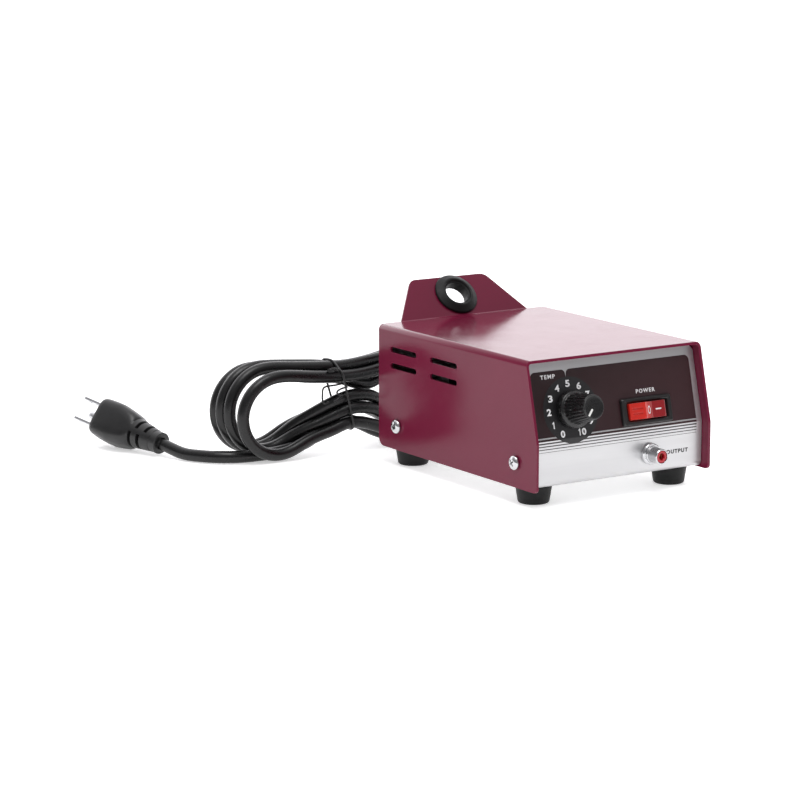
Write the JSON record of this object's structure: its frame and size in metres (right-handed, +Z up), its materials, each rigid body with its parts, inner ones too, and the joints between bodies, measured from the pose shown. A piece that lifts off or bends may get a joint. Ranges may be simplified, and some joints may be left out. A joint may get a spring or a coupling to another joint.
{
  "type": "wood burning pen power unit",
  "caption": "Bench power unit for a heated wood burning pen: steel case with heat dial, lit rocker switch, output socket, pen rest, rubber feet and tied mains lead.",
  "frame": {"origin": "middle of the unit's footprint, without the lead, at the height of the bench it stands on", "axes": "+X to the right seen from the front, -Y out of the front panel, +Z up"},
  "size_m": [0.2383, 0.31, 0.0989],
  "materials": {
    "maroon_paint": "gloss",
    "panel_metal": "satin",
    "steel": "satin",
    "chrome": "polished",
    "brass": "satin",
    "copper_winding": "varnished",
    "core_iron": "varnished",
    "sink_metal": "black anodised",
    "rubber": "matte",
    "knob_plastic": "semi-gloss",
    "black_plastic": "satin",
    "cord_jacket": "satin",
    "rocker_red": "translucent",
    "insulator_red": "gloss",
    "pointer_white": "matte",
    "lamp_glass": "clear",
    "fuse_glass": "clear",
    "board_green": "satin",
    "film_yellow": "satin"
  },
  "bodies": {
    "case": {"top_cover": "maroon_paint", "chassis": "panel_metal", "holder_grommet": "rubber", "foot_front_left": "rubber", "foot_rear_left": "rubber", "foot_front_right": "rubber", "foot_rear_right": "rubber", "foot_screw_front_left": "steel", "foot_screw_rear_left": "steel", "foot_screw_front_right": "steel", "foot_screw_rear_right": "steel", "cover_screw_front_left": "chrome", "cover_screw_rear_left": "chrome", "cover_screw_front_right": "chrome", "cover_screw_rear_right": "chrome", "potentiometer": "steel", "potentiometer_washer": "steel", "potentiometer_nut": "brass", "switch_housing": "black_plastic", "switch_lamp": "lamp_glass", "switch_terminal_1": "brass", "switch_terminal_2": "brass", "switch_terminal_3": "brass", "jack_shell": "chrome", "jack_insulator": "insulator_red", "jack_contact": "brass", "jack_nut": "steel", "transformer_core": "core_iron", "transformer_coil": "copper_winding", "transformer_base": "steel", "transformer_screw_1": "steel", "transformer_screw_2": "steel", "board_standoff_1": "brass", "board_standoff_2": "brass", "board_standoff_3": "brass", "board_standoff_4": "brass", "circuit_board": "board_green", "heat_sink": "sink_metal", "triac": "black_plastic", "suppression_capacitor": "film_yellow", "fuse_holder": "black_plastic", "fuse": "fuse_glass", "strain_relief": "black_plastic", "cord_entry": "cord_jacket", "cord_hank": "cord_jacket", "cord_lead": "cord_jacket", "cord_tie": "black_plastic", "plug_body": "black_plastic", "plug_blade_left": "steel", "plug_blade_right": "steel", "plug_ground_pin": "steel"},
    "knob": {"temperature_knob": "knob_plastic", "knob_pointer": "pointer_white", "knob_set_screw": "steel", "potentiometer_shaft": "steel"},
    "rocker": {"switch_rocker": "rocker_red"}
  },
  "joints": [
    {"name": "knob_turn", "type": "hinge", "parent": "case", "child": "knob", "pos_m": [-0.0294, -0.07161, 0.04978], "axis": [0, 0.9713, -0.2377], "range_deg": [-10, 290]},
    {"name": "rocker_tilt", "type": "hinge", "parent": "case", "child": "rocker", "pos_m": [0.0191, -0.07287, 0.04463], "axis": [0, -0.2377, -0.9713], "range_deg": [0, 20]}
  ]
}
